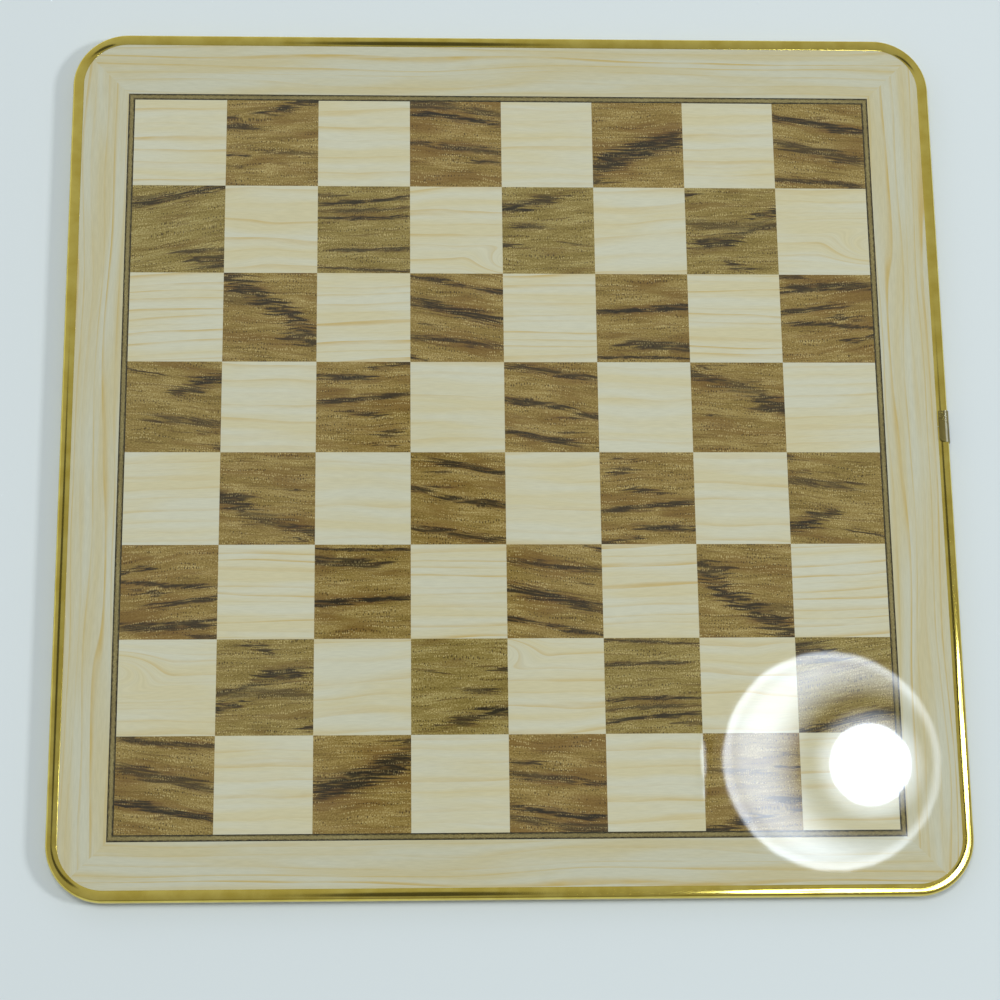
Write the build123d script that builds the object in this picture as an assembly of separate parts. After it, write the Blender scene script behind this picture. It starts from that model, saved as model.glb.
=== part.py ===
from build123d import *
import os

# A flat, one-piece chess board. A fibreboard core carries a glossy face sheet printed as an inlaid
# board, and a plain sheet underneath that keeps the panel from bowing. A half-round brass channel is
# bent round the panel's edge in one length, and its two ends butt under a short crimped sleeve.
# The board lies flat: +Z is up, +X is to the right of the player who sits at -Y, and the origin is
# on the table under the middle of the board. All sizes are in millimetres.

# The print, from the middle outwards
square = 40.0                # side of one square
squares_per_side = 8
line_width = 2.8             # dark line round the field
border_width = 23.2          # maple border, from the dark line to the panel's edge

# The panel and its layers
panel_radius = 21.0          # round corners of the panel
face_sheet_thickness = 0.5   # printed paper under a clear gloss film
back_sheet_thickness = 0.5
print_shift_x = -1.5         # the print sits a little off the panel's middle
print_shift_y = -2.0

# The brass edge
bead_height = 6.0            # the half round's full height
bead_wall = 0.5
bead_reach = 5.0             # from the outermost line of the brass to the end of its lips
lip_drop = 0.22              # the lips curve down this much towards their ends, where they are thinner
lip_rounding = 0.2           # rolled edge at the end of each lip
butt_gap = 0.4               # between the two ends of the brass

# The sleeve over the joint
sleeve_length = 14.0
sleeve_wall = 0.4
sleeve_clearance = 0.05      # between the sleeve and the brass inside it
sleeve_setback = 0.4         # the sleeve's lips end this much short of the brass's own
sleeve_place_y = 9.5         # middle of the joint, measured from the middle of the right-hand side
sleeve_near_corner = 1.8     # rounding of the lips' corners at the end nearer the player
sleeve_far_corner = 0.7      # and at the other end
sleeve_edge_rounding = 0.15

# The pads that it rests on
pad_diameter = 14.0
pad_thickness = 1.5
pad_inset = 26.0             # from the outermost line of the brass to a pad's middle

# What follows from those sizes
field_size = square * squares_per_side
line_frame_size = field_size + 2 * line_width
panel_size = line_frame_size + 2 * border_width
bead_radius = bead_height / 2
board_size = panel_size + 2 * bead_radius
half_board = board_size / 2
corner_radius = panel_radius + bead_radius
panel_thickness = bead_height - 2 * bead_wall
core_thickness = panel_thickness - face_sheet_thickness - back_sheet_thickness

back_sheet_z = pad_thickness
core_z = back_sheet_z + back_sheet_thickness
face_sheet_z = core_z + core_thickness
bead_middle_z = back_sheet_z + panel_thickness / 2
print_place = Pos(print_shift_x, print_shift_y, face_sheet_z)

# The four sides in the order in which they are turned: each is the right-hand side, turned by a
# quarter turn more than the last.
side_turns = {"right": 0, "far": 90, "left": 180, "near": 270}

parts = {}


def core_panel():
    """The fibreboard sheet that carries everything, with its corners cut round."""
    outline = RectangleRounded(panel_size, panel_size, panel_radius)
    return Pos(0, 0, core_z) * extrude(outline, core_thickness)


def back_sheet():
    """The plain sheet glued under the core."""
    outline = RectangleRounded(panel_size, panel_size, panel_radius)
    return Pos(0, 0, back_sheet_z) * extrude(outline, back_sheet_thickness)


def rank_of_squares(rank, parity):
    """One colour of square in one row: every second field of the face sheet across the board."""
    row_y = (rank - (squares_per_side + 1) / 2) * square
    tile = extrude(Rectangle(square, square), face_sheet_thickness)
    columns = [file for file in range(1, squares_per_side + 1) if (file + rank) % 2 == parity]
    places = [Pos((file - (squares_per_side + 1) / 2) * square, row_y, 0) for file in columns]
    return Compound(children=[print_place * place * tile for place in places])


def mitre_wedge(turn):
    """A quarter of the plane seen from the print's middle, between two 45 degree mitre lines."""
    reach = board_size
    wedge = make_face(Polyline((0, 0), (reach, -reach), (reach, reach), (0, 0)))
    return Rot(0, 0, turn) * wedge


def line_strip(turn):
    """One side of the dark line round the field, cut at 45 degrees at both ends."""
    frame = Rectangle(line_frame_size, line_frame_size) - Rectangle(field_size, field_size)
    return print_place * extrude(frame & mitre_wedge(turn), face_sheet_thickness)


def border_strip(turn):
    """One side of the maple border, mitred, with the panel's round corners."""
    panel = Pos(-print_shift_x, -print_shift_y) * RectangleRounded(panel_size, panel_size, panel_radius)
    frame = panel - Rectangle(line_frame_size, line_frame_size)
    return print_place * extrude(frame & mitre_wedge(turn), face_sheet_thickness)


def channel_section(radius, wall, reach):
    """A half round with two crowned lips, hollow, drawn from its outermost point inwards along +X."""
    inner = radius - wall
    lip_height = radius - lip_drop
    outer_round = ThreePointArc((radius, -radius), (0, 0), (radius, radius))
    upper_crown = TangentArc((radius, radius), (reach, lip_height), tangent=(1, 0))
    upper_lip = Polyline((reach, lip_height), (reach, inner), (radius, inner))
    inner_round = ThreePointArc((radius, inner), (wall, 0), (radius, -inner))
    lower_lip = Polyline((radius, -inner), (reach, -inner), (reach, -lip_height))
    lower_crown = TangentArc((radius, -radius), (reach, -lip_height), tangent=(1, 0))
    lines = [outer_round, upper_crown, upper_lip, inner_round, lower_lip, lower_crown]
    section = make_face([edge for line in lines for edge in line.edges()])
    lip_middle = (inner + lip_height) / 2
    lip_corners = [v for v in section.vertices() if v.X > reach - wall and abs(v.Y) > lip_middle]
    return fillet(lip_corners, min(lip_rounding, 0.8 * (wall - lip_drop)))


def edge_bead():
    """The brass channel, bent round the panel in one length, open at its butt joint."""
    start = (half_board, sleeve_place_y + butt_gap / 2, bead_middle_z)
    end = (half_board, sleeve_place_y - butt_gap / 2, bead_middle_z)
    corners = [
        (half_board, half_board, bead_middle_z),
        (-half_board, half_board, bead_middle_z),
        (-half_board, -half_board, bead_middle_z),
        (half_board, -half_board, bead_middle_z),
    ]
    path = FilletPolyline(start, *corners, end, radius=corner_radius)
    section = channel_section(bead_radius, bead_wall, bead_reach)
    section_plane = Plane(origin=start, x_dir=(-1, 0, 0), z_dir=(0, 1, 0))
    return sweep(section_plane * section, path=path)


def corner_waste(corner_x, corner_y, radius, way_y):
    """What is filed off a lip's corner to round it, through both lips; way_y points along the sleeve."""
    middle = (corner_x + radius, corner_y + way_y * radius)
    corner = Pos(corner_x + radius / 2, corner_y + way_y * radius / 2) * Rectangle(radius, radius)
    kept = Pos(*middle) * Circle(radius)
    return Pos(0, 0, bead_middle_z) * extrude(corner - kept, bead_height, both=True)


def joint_sleeve():
    """The short brass sleeve crimped over the butt joint."""
    grown = sleeve_clearance + sleeve_wall
    reach = bead_reach - sleeve_setback + grown
    section = channel_section(bead_radius + grown, sleeve_wall, reach)
    near_end = sleeve_place_y - sleeve_length / 2
    outermost = half_board + grown
    section_plane = Plane(origin=(outermost, near_end, bead_middle_z), x_dir=(-1, 0, 0), z_dir=(0, 1, 0))
    sleeve = extrude(section_plane * section, sleeve_length)
    end_edges = [e for e in sleeve.edges().filter_by(GeomType.CIRCLE) if e.radius > bead_radius + grown / 2]
    sleeve = fillet(end_edges, sleeve_edge_rounding)
    lip_end = outermost - reach
    far_end = near_end + sleeve_length
    sleeve -= corner_waste(lip_end, near_end, sleeve_near_corner, 1)
    sleeve -= corner_waste(lip_end, far_end, sleeve_far_corner, -1)
    return sleeve


def felt_pads():
    """Four round pads glued under the corners, so the brass never touches the table."""
    reach = half_board - pad_inset
    pad = extrude(Circle(pad_diameter / 2), pad_thickness)
    return Compound(children=[Pos(x, y, 0) * pad for x in (-reach, reach) for y in (-reach, reach)])


parts["core_panel"] = core_panel()
parts["back_sheet"] = back_sheet()
for rank in range(1, squares_per_side + 1):
    parts[f"rank_{rank}_dark_squares"] = rank_of_squares(rank, 0)
    parts[f"rank_{rank}_light_squares"] = rank_of_squares(rank, 1)
for side, turn in side_turns.items():
    parts[f"{side}_line"] = line_strip(turn)
    parts[f"{side}_border"] = border_strip(turn)
parts["edge_bead"] = edge_bead()
parts["joint_sleeve"] = joint_sleeve()
parts["felt_pads"] = felt_pads()

os.makedirs("parts", exist_ok=True)
for name, solid in parts.items():
    export_step(solid, f"parts/{name}.step")
    print(name, round(solid.volume, 1), "mm3")
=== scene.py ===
import math

import bmesh
import bpy
from mathutils import Matrix, Vector


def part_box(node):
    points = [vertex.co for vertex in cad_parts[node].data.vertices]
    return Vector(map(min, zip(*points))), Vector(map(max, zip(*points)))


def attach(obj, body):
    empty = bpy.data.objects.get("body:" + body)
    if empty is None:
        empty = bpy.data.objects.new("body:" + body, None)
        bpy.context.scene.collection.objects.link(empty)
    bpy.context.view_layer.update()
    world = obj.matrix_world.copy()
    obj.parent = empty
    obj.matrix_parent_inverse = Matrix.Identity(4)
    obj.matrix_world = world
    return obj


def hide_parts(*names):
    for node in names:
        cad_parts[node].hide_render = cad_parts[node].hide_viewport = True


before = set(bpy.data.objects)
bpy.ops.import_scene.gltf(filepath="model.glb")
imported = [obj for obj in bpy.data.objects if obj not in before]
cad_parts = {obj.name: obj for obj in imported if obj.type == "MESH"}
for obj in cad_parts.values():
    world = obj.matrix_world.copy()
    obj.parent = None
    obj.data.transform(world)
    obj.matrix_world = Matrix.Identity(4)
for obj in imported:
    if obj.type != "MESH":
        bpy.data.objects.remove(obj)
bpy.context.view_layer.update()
MM = 0.001


# The camera stands where the photograph was taken from: almost square to the face, a little to the left
# of its middle and towards the near edge. The lens is given for a sensor 36 mm wide.
camera_place = Vector((-45.84, -253.85, 924.0)) * MM
camera_tilt = math.radians(14.133)
camera_pan = math.radians(-2.537)
camera_roll = math.radians(-0.05)
camera_data = bpy.data.cameras.new("camera")
camera_data.sensor_width = 36.0
camera_data.lens = 80.98
camera = bpy.data.objects.new("camera", camera_data)
bpy.context.scene.collection.objects.link(camera)
camera.matrix_world = (
    Matrix.Translation(camera_place)
    @ Matrix.Rotation(camera_tilt, 4, "X")
    @ Matrix.Rotation(camera_pan, 4, "Y")
    @ Matrix.Rotation(camera_roll, 4, "Z")
)
bpy.context.scene.camera = camera


# The core is a sheet of medium-density fibreboard, sawn to size with its corners cut round on a router.
# It shows nowhere once the board is made, so its own solid stays, in the colour of raw board.
def colour(hex_text):
    """An sRGB hex value as the linear colour that a socket takes."""
    parts = [int(hex_text[i:i + 2], 16) / 255 for i in (1, 3, 5)]
    return (*(c / 12.92 if c <= 0.04045 else ((c + 0.055) / 1.055) ** 2.4 for c in parts), 1.0)


def add_node(tree, kind, settings=None, links=None):
    """Adds a shader node. A second word in kind is its operation. A setting is a property or, if there is
    none of that name, an input's value. A link comes from a socket or from a node's first output; a plain
    number is put in as it is."""
    kind, *operation = kind.split()
    node = tree.nodes.new("ShaderNode" + kind)
    if operation:
        node.operation = operation[0]
    for name, value in (settings or {}).items():
        if isinstance(name, str) and hasattr(node, name):
            setattr(node, name, value)
        else:
            node.inputs[name].default_value = value
    for name, source in (links or {}).items():
        if isinstance(source, float):
            node.inputs[name].default_value = source
        else:
            socket = source.outputs[0] if isinstance(source, bpy.types.Node) else source
            tree.links.new(socket, node.inputs[name])
    return node


IN_COLOUR = {"data_type": "RGBA"}


def new_finish(name, **surface):
    """A material of that name with its Principled shader's constants set, and both for more nodes."""
    finish = bpy.data.materials.new(name)
    finish.use_nodes = True
    shader = finish.node_tree.nodes["Principled BSDF"]
    for socket, value in surface.items():
        shader.inputs[socket.replace("_", " ")].default_value = value
    return finish, finish.node_tree, shader


def fibreboard():
    """Medium-density fibreboard, pressed and sanded: even brown with a fine felted fleck."""
    finish, tree, shader = new_finish("fibreboard", Roughness=0.85)
    fleck_size = 1.2 * MM
    place = add_node(tree, "TexCoord").outputs["Object"]
    fleck = add_node(tree, "TexNoise", {"Scale": 1 / fleck_size, "Detail": 3.0}, {"Vector": place})
    tone = add_node(tree, "Mix", IN_COLOUR | {6: colour("#8f7350"), 7: colour("#a98b62")}, {0: fleck})
    tree.links.new(tone.outputs[2], shader.inputs["Base Color"])
    bump = add_node(tree, "Bump", {"Strength": 0.2, "Distance": 0.1 * MM}, {"Height": fleck})
    tree.links.new(bump.outputs[0], shader.inputs["Normal"])
    return finish


def dress(node_name, finish):
    """Gives a solid that stays in view its finish."""
    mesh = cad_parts[node_name].data
    mesh.materials.clear()
    mesh.materials.append(finish)


dress("core_panel", fibreboard())


# The back sheet is a dark brown balancing paper soaked in resin and glued under the core in the same press
# as the face, so that the panel stays flat. It is matt, with a faint cloudy mottle.
def balancing_paper():
    """Resin-soaked kraft paper, pressed: dark brown, matt, slightly mottled, with a fine fibre grain."""
    finish, tree, shader = new_finish("balancing_paper", Roughness=0.6)
    cloud_size, fibre_length, fibre_width = 14 * MM, 3.0 * MM, 0.4 * MM
    place = add_node(tree, "TexCoord").outputs["Object"]
    cloud = add_node(tree, "TexNoise", {"Scale": 1 / cloud_size, "Detail": 4.0}, {"Vector": place})
    drawn = add_node(tree, "Mapping", {"Scale": (1 / fibre_length, 1 / fibre_width, 1.0)}, {"Vector": place})
    fibre = add_node(tree, "TexNoise", {"Scale": 1.0, "Detail": 2.0}, {"Vector": drawn})
    both = add_node(tree, "Math ADD", links={0: cloud, 1: fibre})
    share = add_node(tree, "MapRange", {"From Min": 0.7, "From Max": 1.3}, {"Value": both})
    tone = add_node(tree, "Mix", IN_COLOUR | {6: colour("#3f2f21"), 7: colour("#5a4531")}, {0: share})
    tree.links.new(tone.outputs[2], shader.inputs["Base Color"])
    bump = add_node(tree, "Bump", {"Strength": 0.15, "Distance": 0.1 * MM}, {"Height": fibre})
    tree.links.new(bump.outputs[0], shader.inputs["Normal"])
    return finish


dress("back_sheet", balancing_paper())


# The dark squares are printed with the figure of rosewood, on paper under a clear high-gloss film. The
# sheet is printed point-symmetric: a square shows the same figure as the one opposite it across the
# board's middle, turned half round. Each square of the far half gets its own streaks.
tile_low, tile_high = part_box("rank_1_dark_squares")
square_side = tile_high.y - tile_low.y
field_left = tile_low.x
field_near = tile_low.y
print_bottom, print_top = tile_low.z, tile_high.z
squares_per_side = 8
files = "abcdefgh"

# One streak: where it starts and ends, in squares from the far left corner; how far its middle bows
# towards the near side, in squares; its width in mm; and how dark it is. A streak that starts or ends at 0
# or 1 runs on past the square's side.
streak_count = 6
rosewood_streaks = {
    "b8": [(0.28, 0.18, 1.00, -0.01, 0.00, 1.7, 1.00), (0.00, 0.21, 0.27, 0.20, 0.00, 1.2, 0.90),
           (0.00, 0.31, 0.38, 0.31, 0.00, 2.2, 0.85), (0.00, 0.64, 0.26, 0.66, 0.00, 0.8, 0.95),
           (0.30, 0.60, 1.00, 0.62, 0.00, 1.3, 0.50), (0.05, 0.78, 0.30, 0.78, 0.00, 1.2, 0.50)],
    "d8": [(0.00, 0.15, 1.00, 0.29, -0.035, 1.8, 1.00), (0.00, 0.03, 0.60, 0.06, 0.00, 2.8, 0.75),
           (0.52, 0.07, 1.00, 0.15, 0.00, 2.2, 0.70), (0.00, 0.49, 0.19, 0.50, 0.00, 1.4, 0.85),
           (0.20, 0.52, 1.00, 0.62, -0.02, 2.4, 0.75), (0.58, 0.70, 1.00, 0.71, 0.00, 1.1, 0.85)],
    "f8": [(0.00, 0.83, 1.00, 0.45, -0.08, 6.0, 1.00), (0.00, 0.74, 0.40, 0.66, 0.00, 2.2, 0.80),
           (0.55, 0.44, 1.00, 0.43, 0.00, 1.4, 0.70), (0.00, 0.93, 0.22, 0.91, 0.00, 1.8, 0.80)],
    "h8": [(0.00, 0.16, 1.00, 0.34, -0.01, 2.2, 1.00), (0.00, 0.47, 1.00, 0.70, -0.01, 3.2, 0.75),
           (0.00, 0.89, 1.00, 0.99, -0.01, 1.6, 0.80)],
    "a7": [(0.00, 0.25, 1.00, 0.00, -0.01, 2.2, 0.95), (0.00, 0.17, 0.36, 0.10, 0.00, 2.0, 0.50),
           (0.38, 0.77, 1.00, 0.73, 0.01, 1.2, 0.75), (0.60, 0.87, 1.00, 0.83, 0.00, 2.4, 0.85),
           (0.68, 0.97, 1.00, 0.91, 0.00, 1.6, 0.80)],
    "c7": [(0.00, 0.20, 1.00, 0.11, 0.02, 1.4, 0.95), (0.00, 0.11, 0.25, 0.10, 0.00, 1.2, 0.70),
           (0.00, 0.28, 1.00, 0.24, 0.02, 1.2, 0.70), (0.00, 0.36, 1.00, 0.34, 0.02, 1.1, 0.95),
           (0.10, 0.74, 1.00, 0.71, 0.01, 1.1, 0.80), (0.00, 0.93, 1.00, 0.97, 0.01, 1.0, 0.80)],
    "e7": [(0.00, 0.24, 0.30, 0.23, 0.00, 3.0, 1.00), (0.24, 0.18, 0.68, 0.11, 0.00, 2.8, 0.80),
           (0.08, 0.45, 0.50, 0.46, 0.00, 1.9, 0.75), (0.00, 0.67, 0.28, 0.69, 0.00, 1.4, 0.90),
           (0.56, 0.64, 0.86, 0.66, 0.00, 0.8, 0.80)],
    "g7": [(0.00, 0.07, 0.15, 0.07, 0.00, 1.6, 0.90), (0.78, 0.37, 1.00, 0.27, 0.00, 2.8, 1.00),
           (0.00, 0.40, 1.00, 0.42, 0.03, 3.0, 0.50), (0.40, 0.56, 1.00, 0.43, 0.00, 1.3, 0.75),
           (0.03, 0.66, 0.60, 0.62, 0.00, 3.3, 0.95), (0.34, 0.84, 0.74, 0.96, 0.00, 2.2, 0.85)],
    "b6": [(0.00, 0.06, 1.00, 0.80, -0.09, 5.0, 0.95), (0.00, 0.01, 0.22, 0.01, 0.00, 1.1, 0.90),
           (0.00, 0.26, 0.50, 0.34, 0.00, 4.0, 0.35), (0.60, 0.68, 1.00, 0.79, 0.00, 3.0, 0.80)],
    "d6": [(0.00, 0.05, 0.40, 0.11, 0.00, 1.6, 0.80), (0.36, 0.11, 1.00, 0.21, 0.00, 1.6, 0.95),
           (0.00, 0.31, 1.00, 0.55, 0.00, 2.8, 0.95), (0.10, 0.57, 0.36, 0.59, 0.00, 1.0, 0.65),
           (0.00, 0.73, 1.00, 0.84, -0.02, 1.7, 0.80), (0.00, 0.94, 0.22, 0.98, 0.00, 1.3, 1.00)],
    "f6": [(0.00, 0.43, 1.00, 0.39, 0.00, 1.6, 1.00), (0.62, 0.36, 1.00, 0.36, 0.00, 1.4, 0.90),
           (0.22, 0.79, 1.00, 0.84, -0.01, 3.0, 0.85), (0.00, 0.95, 1.00, 0.96, -0.01, 0.9, 0.90)],
    "h6": [(0.00, 0.20, 1.00, 0.14, -0.03, 2.6, 0.90), (0.00, 0.03, 0.28, 0.02, 0.00, 1.6, 0.75),
           (0.00, 0.43, 0.80, 0.32, 0.01, 1.5, 0.90), (0.52, 0.46, 0.88, 0.52, 0.00, 1.6, 0.75),
           (0.00, 0.57, 1.00, 0.62, -0.03, 1.4, 0.90), (0.64, 0.78, 1.00, 0.70, 0.00, 1.2, 0.95)],
    "a5": [(0.00, 0.08, 0.48, 0.17, 0.00, 0.7, 0.85), (0.40, 0.32, 0.72, 0.36, 0.00, 2.4, 0.90),
           (0.58, 0.28, 1.00, 0.18, 0.00, 3.4, 1.00), (0.15, 0.60, 1.00, 0.70, 0.00, 2.4, 0.65),
           (0.76, 0.77, 0.98, 0.79, 0.00, 1.0, 0.70), (0.82, 0.93, 1.00, 0.95, 0.00, 1.8, 0.70)],
    "c5": [(0.00, 0.17, 0.64, 0.18, 0.00, 1.8, 0.95), (0.58, 0.08, 1.00, 0.01, 0.00, 1.6, 0.80),
           (0.00, 0.46, 1.00, 0.36, 0.00, 1.6, 0.90), (0.26, 0.54, 0.80, 0.62, 0.00, 1.3, 0.85),
           (0.72, 0.81, 0.96, 0.78, 0.00, 2.3, 0.75), (0.62, 0.92, 0.86, 0.93, 0.00, 1.2, 0.65)],
    "e5": [(0.00, 0.04, 1.00, 0.19, -0.01, 1.8, 0.85), (0.00, 0.42, 0.78, 0.52, 0.00, 1.8, 0.90),
           (0.58, 0.57, 1.00, 0.61, 0.00, 1.6, 0.90), (0.00, 0.76, 0.92, 0.95, 0.00, 1.9, 0.95),
           (0.54, 0.78, 0.78, 0.79, 0.00, 0.8, 0.65)],
    "g5": [(0.00, 0.09, 0.32, 0.03, 0.00, 1.3, 0.75), (0.00, 0.14, 0.34, 0.21, 0.00, 2.4, 0.90),
           (0.26, 0.20, 0.80, 0.34, 0.00, 4.0, 0.60), (0.55, 0.38, 1.00, 0.50, 0.01, 4.6, 0.90),
           (0.14, 0.59, 0.33, 0.60, 0.00, 0.7, 0.80)],
}
# How far the grain rises towards the right across one square, and how brown the ground is, from -1 to 1.
rosewood_grain = {
    "b8": (0.03, 0.2), "d8": (-0.06, 0.4), "f8": (0.02, 0.3), "h8": (-0.12, 0.2),
    "a7": (0.16, -0.4), "c7": (0.04, -0.3), "e7": (0.02, -0.3), "g7": (0.02, -0.2),
    "b6": (-0.03, 0.2), "d6": (-0.12, 0.3), "f6": (0.02, 0.2), "h6": (0.08, 0.3),
    "a5": (-0.08, 0.1), "c5": (0.02, 0.3), "e5": (-0.10, 0.3), "g5": (-0.06, 0.2),
}


def printed_twin(file, rank):
    """The square of the far half whose print this one shows, and whether it is turned half round."""
    if rank > squares_per_side / 2:
        return files[file - 1] + str(rank), False
    return files[squares_per_side - file] + str(squares_per_side + 1 - rank), True


def row_of_tiles(name, rank, parity, values):
    """One colour of square in one row, as thin tiles of the face sheet. values gives what a square's
    print needs, by attribute name; each tile holds its own, so that one finish serves them all."""
    bm = bmesh.new()
    place = bm.loops.layers.uv.new("square")
    columns = [file for file in range(1, squares_per_side + 1) if (file + rank) % 2 == parity]
    held = {}
    for attribute, value in values(printed_twin(columns[0], rank)[0]).items():
        kind = bm.faces.layers.float_color if len(value) == 4 else bm.faces.layers.float_vector
        held[attribute] = kind.new(attribute)
    for file in columns:
        corner = Vector((field_left + (file - 1) * square_side, field_near + (rank - 1) * square_side))
        centre = Vector((*(corner + Vector((0.5, 0.5)) * square_side), (print_bottom + print_top) / 2))
        size = Matrix.Diagonal((square_side, square_side, print_top - print_bottom, 1.0))
        tile = bmesh.ops.create_cube(bm, size=1.0, matrix=Matrix.Translation(centre) @ size)
        twin, turned = printed_twin(file, rank)
        for face in {face for vert in tile["verts"] for face in vert.link_faces}:
            for attribute, value in values(twin).items():
                face[held[attribute]] = value
            for loop in face.loops:
                across = (loop.vert.co.xy - corner) / square_side
                loop[place].uv = Vector((1.0, 1.0)) - across if turned else across
    return finished_piece(name, bm)


def finished_piece(name, bm):
    """Turns a bmesh into an object of the scene, at the origin, with its place in its mesh."""
    mesh = bpy.data.meshes.new(name)
    bm.to_mesh(mesh)
    bm.free()
    piece = bpy.data.objects.new(name, mesh)
    bpy.context.scene.collection.objects.link(piece)
    return piece


def rosewood_values(twin):
    """The grain and the streaks of one dark square, as its attributes. Each square shows its own stretch
    of figure, so many mm from the next, and one with fewer streaks has unseen ones besides."""
    sheet_step = 61.0
    number = sorted(rosewood_streaks).index(twin)
    lean, brown = rosewood_grain[twin]
    values = {"grain": (sheet_step * (number % 4), sheet_step * (number // 4), lean), "tint": (brown, 0, 0)}
    run_on, unseen = 0.15, (0.0, 0.0, 1.0, 0.0, 0.0, 1.0, 0.0)
    streaks = rosewood_streaks[twin] + [unseen] * streak_count
    for streak, (x0, y0, x1, y1, bow, width, dark) in enumerate(streaks[:streak_count], 1):
        slope = (y1 - y0) / (x1 - x0)
        if x0 == 0:
            x0, y0 = x0 - run_on, y0 - slope * run_on
        if x1 == 1:
            x1, y1 = x1 + run_on, y1 + slope * run_on
        values[f"streak_{streak}_ends"] = (x0, y0, x1, y1)
        values[f"streak_{streak}_form"] = (4 * bow, width / 2 * MM / square_side, dark)
    return values


def drawn_noise(tree, grain, size, detail=2.0):
    """A noise that is drawn out along the grain. size is its length and width in mm."""
    length, width = size
    drawn = add_node(tree, "Mapping", {"Scale": (1 / length, 1 / width, 1.0)}, {"Vector": grain})
    return add_node(tree, "TexNoise", {"noise_dimensions": "2D", "Scale": 1.0, "Detail": detail},
                    {"Vector": drawn})


def grain_coordinates(tree, along, across, lean, offset, wander_size, wander_reach):
    """The figure's own coordinates in mm, along and across its grain, with the grain's lean and a slow
    wander. lean and wander_reach are sockets or numbers."""
    rise = add_node(tree, "Math MULTIPLY", links={0: along, 1: lean})
    level = add_node(tree, "Math SUBTRACT", links={0: across, 1: rise})
    flat = add_node(tree, "CombineXYZ", links={0: along, 1: level})
    moved = add_node(tree, "VectorMath ADD", links={0: flat, 1: offset})
    wander = drawn_noise(tree, moved, wander_size, 1.0)
    centred = add_node(tree, "Math SUBTRACT", {1: 0.5}, {0: wander})
    shift = add_node(tree, "Math MULTIPLY", links={0: centred, 1: wander_reach})
    aside = add_node(tree, "CombineXYZ", links={1: shift})
    return add_node(tree, "VectorMath ADD", links={0: moved, 1: aside})


def held_by_tile(tree, attribute):
    """The three parts of what a tile's faces hold under a name."""
    held = add_node(tree, "Attribute", {"attribute_name": attribute})
    return add_node(tree, "SeparateXYZ", links={0: held.outputs["Vector"]})


def square_coordinates(tree):
    """The place in the square, from 0 to 1 and in mm, and the grain's lean and offset."""
    place = add_node(tree, "SeparateXYZ", links={0: add_node(tree, "UVMap", {"uv_map": "square"})})
    held = held_by_tile(tree, "grain")
    offset = add_node(tree, "CombineXYZ", links={0: held.outputs[0], 1: held.outputs[1]})
    in_mm = [add_node(tree, "Math MULTIPLY", {1: square_side / MM}, {0: socket})
             for socket in place.outputs[:2]]
    return place, in_mm, held.outputs[2], offset


def glossy_print(name):
    """A print on paper under a clear film, mirror-smooth on top. The film isn't quite flat: waves a few
    thousandths of a mm high, and a far lower ripple over the print's dots, bend what it mirrors."""
    finish, tree, shader = new_finish(
        name, Roughness=0.5, Specular_IOR_Level=0.0, Coat_Weight=1.0, Coat_Roughness=0.02
    )
    waves, ripple = (14 * MM, 0.006 * MM), (1.2 * MM, 0.0003 * MM)
    place = add_node(tree, "TexCoord").outputs["Object"]
    bump = None
    for length, height in (waves, ripple):
        wave = add_node(tree, "TexNoise", {"Scale": 1 / length, "Detail": 1.0}, {"Vector": place})
        links = {"Height": wave} | ({"Normal": bump} if bump else {})
        bump = add_node(tree, "Bump", {"Strength": 1.0, "Distance": height}, links)
    tree.links.new(bump.outputs[0], shader.inputs["Coat Normal"])
    return finish, tree, shader


SMOOTHLY = {"interpolation_type": "SMOOTHSTEP"}


def paint_ramp(ramp, tones):
    """Gives a colour ramp its places, in order from 0 to 1, and their colours."""
    stops = ramp.color_ramp.elements
    stops[0].color, stops[1].color = tones[0][1], tones[-1][1]
    for place, tone in tones[1:-1]:
        stops.new(place).color = tone


def rosewood_ground(tree, grain, brown):
    """Golden olive of rosewood between its streaks: soft bands, fine lines along the grain, a fine speckle
    and browner clouds. brown is from -1 to 1, a socket or a number. Sizes are in mm."""
    bands, lines, speckle, clouds = (24.0, 4.0), (10.0, 0.6), (0.7, 0.5), (34.0, 7.0)
    tone = 0.0
    for size, share in ((bands, 0.7), (lines, 0.35), (speckle, 1.1)):
        finer = drawn_noise(tree, grain, size)
        tone = add_node(tree, "Math MULTIPLY_ADD", {1: share}, {0: finer, 2: tone})
    spread = add_node(tree, "MapRange", {"From Min": 0.7, "From Max": 1.45}, {"Value": tone})
    ramp = add_node(tree, "ValToRGB", links={0: spread})
    paint_ramp(ramp, [(0.0, colour("#66552a")), (0.3, colour("#816e39")), (0.5, colour("#8b7743")),
                      (0.7, colour("#96834f")), (1.0, colour("#ac9c69"))])
    patch = add_node(tree, "Math MULTIPLY_ADD", {1: 0.22},
                     {0: brown, 2: drawn_noise(tree, grain, clouds, 3.0)})
    cloud = add_node(tree, "MapRange", SMOOTHLY | {"From Min": 0.48, "From Max": 0.76, "To Max": 0.6},
                     {"Value": patch})
    clouded = add_node(tree, "Mix", IN_COLOUR | {7: colour("#6f5327")}, {0: cloud, 6: ramp.outputs["Color"]})
    olive, golden = (0.95, 1.03, 0.97, 1.0), (0.99, 0.97, 0.88, 1.0)
    warmth = add_node(tree, "MapRange", {"From Min": -0.4, "From Max": 0.4}, {"Value": brown})
    cast = add_node(tree, "Mix", IN_COLOUR | {6: olive, 7: golden}, {0: warmth})
    tinted = add_node(tree, "VectorMath MULTIPLY", links={0: clouded.outputs[2], 1: cast.outputs[2]})
    return tinted.outputs[0]


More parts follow.
